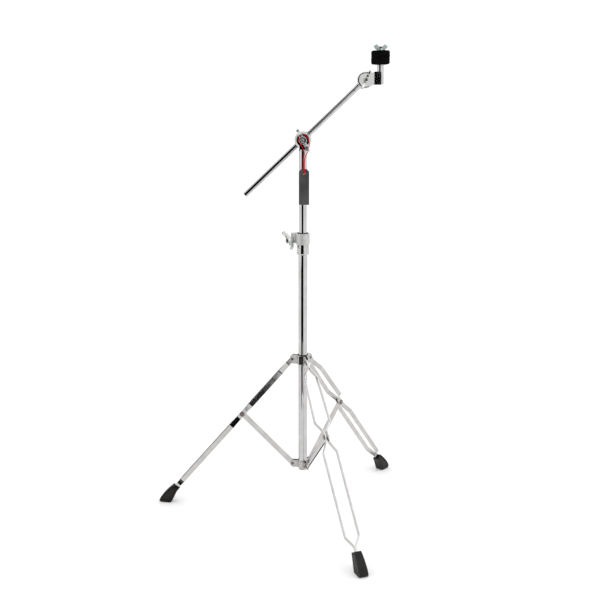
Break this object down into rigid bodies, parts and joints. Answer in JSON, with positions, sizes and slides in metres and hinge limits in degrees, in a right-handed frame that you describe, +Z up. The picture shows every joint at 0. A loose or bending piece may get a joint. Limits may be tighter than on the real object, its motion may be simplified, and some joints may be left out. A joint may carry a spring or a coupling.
{
  "type": "cymbal boom stand",
  "caption": "Folding boom stand for a cymbal: strip-leg tripod with scissor braces, telescoping tube mast, tilting boom rod, felt cymbal seat and wing nuts.",
  "frame": {"origin": "on the mast axis at floor level, centred between the three feet", "axes": "+Z up along the mast; +X is the side the boom reaches out over; -Y is the side of the wing nuts and the tag"},
  "size_m": [0.6241, 0.6589, 1.1582],
  "materials": {
    "chromed_tube": "polished",
    "chromed_fitting": "polished",
    "chromed_plate": "polished",
    "zinc_plate": "satin",
    "rivet_steel": "satin",
    "plated_strip": "satin",
    "satin_casting": "satin",
    "satin_nut": "satin",
    "zinc_nut": "satin",
    "threaded_steel": "satin",
    "seat_steel": "satin",
    "black_plastic": "matte",
    "foot_rubber": "matte",
    "black_felt": "matte",
    "red_cord": "matte",
    "tag_card": "matte"
  },
  "bodies": {
    "mast_base": {"base_tube": "chromed_tube", "base_tube_plug": "black_plastic", "lower_collar_plate_rear": "zinc_plate", "lower_collar_plate_left": "zinc_plate", "lower_collar_plate_front": "zinc_plate", "lower_collar_rivets": "rivet_steel", "height_clamp_body": "satin_casting", "height_clamp_bush": "black_plastic", "height_clamp_bolt": "chromed_fitting"},
    "height_clamp_wing_nut": {"height_clamp_wing_nut": "satin_nut"},
    "rear_brace": {"rear_brace": "plated_strip"},
    "left_brace": {"left_brace": "plated_strip"},
    "front_brace": {"front_brace": "plated_strip"},
    "rear_leg": {"rear_leg_strip_a": "plated_strip", "rear_leg_strip_b": "plated_strip", "rear_leg_rivet": "rivet_steel", "rear_foot": "foot_rubber"},
    "left_leg": {"left_leg_strip_a": "plated_strip", "left_leg_strip_b": "plated_strip", "left_leg_rivet": "rivet_steel", "left_foot": "foot_rubber"},
    "front_leg": {"front_leg_strip_a": "plated_strip", "front_leg_strip_b": "plated_strip", "front_leg_rivet": "rivet_steel", "front_foot": "foot_rubber"},
    "upper_collar": {"upper_collar_plate_rear": "chromed_plate", "upper_collar_plate_left": "chromed_plate", "upper_collar_plate_front": "chromed_plate", "upper_collar_rivets": "rivet_steel", "upper_collar_bush": "black_plastic", "collar_lock_nut": "chromed_fitting"},
    "collar_lock_screw": {"collar_lock_screw": "satin_nut"},
    "mast_guide": {"upper_tube_guide": "black_plastic"},
    "upper_mast": {"upper_tube": "chromed_tube", "tilter_post": "chromed_fitting"},
    "hang_tag": {"tag_cord": "red_cord", "hang_tag": "tag_card"},
    "boom_holder": {"boom_holder": "chromed_fitting", "tilter_friction_disc": "black_plastic", "tilter_eye_bolt": "chromed_fitting", "tilter_washer": "chromed_fitting"},
    "tilter_wing_nut": {"tilter_wing_nut": "satin_nut"},
    "boom_sleeve": {"boom_sleeve": "black_plastic"},
    "boom": {"boom_rod": "chromed_tube", "boom_pin": "chromed_tube", "cymbal_tilter_socket": "chromed_fitting", "cymbal_tilter_bolt": "chromed_fitting"},
    "cymbal_tilter_wing_nut": {"cymbal_tilter_wing_nut": "satin_nut"},
    "cymbal_arm": {"cymbal_tilter_arm": "chromed_fitting", "cymbal_post": "chromed_fitting", "cymbal_threaded_rod": "threaded_steel", "cymbal_seat": "seat_steel", "cymbal_sleeve": "black_plastic", "felt_lower": "black_felt", "felt_upper": "black_felt"},
    "cymbal_wing_nut": {"cymbal_wing_nut": "zinc_nut"}
  },
  "joints": [
    {"name": "tripod_fold", "type": "hinge", "parent": "mast_base", "child": "left_brace", "pos_m": [-0.02517, 0.00408, 0.127], "axis": [0.1599, 0.9871, 0], "range_deg": [0, 20]},
    {"name": "rear_brace_fold", "type": "hinge", "parent": "mast_base", "child": "rear_brace", "pos_m": [0.01612, 0.01976, 0.127], "axis": [0.7749, -0.632, 0], "range_deg": [0, 20]},
    {"name": "front_brace_fold", "type": "hinge", "parent": "mast_base", "child": "front_brace", "pos_m": [0.00906, -0.02384, 0.127], "axis": [-0.9348, -0.3551, 0], "range_deg": [0, 20]},
    {"name": "left_leg_fold", "type": "hinge", "parent": "left_brace", "child": "left_leg", "pos_m": [-0.1526, 0.02472, 0.25144], "axis": [-0.1599, -0.9871, 0], "range_deg": [0, 37.14]},
    {"name": "rear_leg_fold", "type": "hinge", "parent": "rear_brace", "child": "rear_leg", "pos_m": [0.09771, 0.1198, 0.25144], "axis": [-0.7749, 0.632, 0], "range_deg": [0, 37.14]},
    {"name": "front_leg_fold", "type": "hinge", "parent": "front_brace", "child": "front_leg", "pos_m": [0.0549, -0.14452, 0.25144], "axis": [0.9348, 0.3551, 0], "range_deg": [0, 37.14]},
    {"name": "collar_fold", "type": "hinge", "parent": "left_leg", "child": "upper_collar", "pos_m": [-0.02567, 0.00416, 0.402], "axis": [0.1599, 0.9871, 0], "range_deg": [0, 17.14]},
    {"name": "lock_screw_spin", "type": "hinge", "parent": "upper_collar", "child": "collar_lock_screw", "pos_m": [-0.00176, 0.02098, 0.402], "axis": [-0.0837, 0.9965, 0], "continuous": true},
    {"name": "height_clamp_nut_spin", "type": "hinge", "parent": "mast_base", "child": "height_clamp_wing_nut", "pos_m": [-0.02529, 0.0108, 0.69855], "axis": [-0.866, -0.5, 0], "continuous": true},
    {"name": "mast_slide", "type": "slide", "parent": "mast_base", "child": "mast_guide", "axis": [0, 0, 1], "range_m": [-0.06, 0.15]},
    {"name": "mast_swivel", "type": "hinge", "parent": "mast_guide", "child": "upper_mast", "pos_m": [0, 0, 0.49], "axis": [0, 0, 1], "continuous": true},
    {"name": "tag_swing", "type": "hinge", "parent": "upper_mast", "child": "hang_tag", "pos_m": [0.00251, -0.0109, 0.9392], "axis": [0, 1, 0], "range_deg": [-60, 60]},
    {"name": "boom_tilt", "type": "hinge", "parent": "upper_mast", "child": "boom_holder", "pos_m": [0, 0.002, 0.9392], "axis": [0, -1, 0], "range_deg": [-90, 30]},
    {"name": "tilter_nut_spin", "type": "hinge", "parent": "boom_holder", "child": "tilter_wing_nut", "pos_m": [0, -0.00835, 0.9392], "axis": [0, -1, 0], "continuous": true},
    {"name": "boom_spin", "type": "hinge", "parent": "boom_holder", "child": "boom_sleeve", "pos_m": [0, 0.017, 0.9392], "axis": [0.7266, 0, 0.6871], "continuous": true},
    {"name": "boom_slide", "type": "slide", "parent": "boom_sleeve", "child": "boom", "axis": [0.7266, 0, 0.6871], "range_m": [-0.07, 0.15]},
    {"name": "cymbal_tilt", "type": "hinge", "parent": "boom", "child": "cymbal_arm", "pos_m": [0.14626, 0.0095, 1.07751], "axis": [0, 1, 0], "range_deg": [-75, 75]},
    {"name": "cymbal_tilter_nut_spin", "type": "hinge", "parent": "boom", "child": "cymbal_tilter_wing_nut", "pos_m": [0.14626, -0.0033, 1.07751], "axis": [0, -1, 0], "continuous": true},
    {"name": "cymbal_nut_spin", "type": "hinge", "parent": "cymbal_arm", "child": "cymbal_wing_nut", "pos_m": [0.1803, 0.003, 1.14461], "axis": [0, 0, 1], "continuous": true}
  ],
  "couplings": [
    {"joint": "rear_brace_fold", "follows": "tripod_fold", "ratio": 1},
    {"joint": "front_brace_fold", "follows": "tripod_fold", "ratio": 1},
    {"joint": "left_leg_fold", "follows": "tripod_fold", "ratio": 1.8564},
    {"joint": "rear_leg_fold", "follows": "tripod_fold", "ratio": 1.8564},
    {"joint": "front_leg_fold", "follows": "tripod_fold", "ratio": 1.8564},
    {"joint": "collar_fold", "follows": "tripod_fold", "ratio": 0.8564}
  ]
}
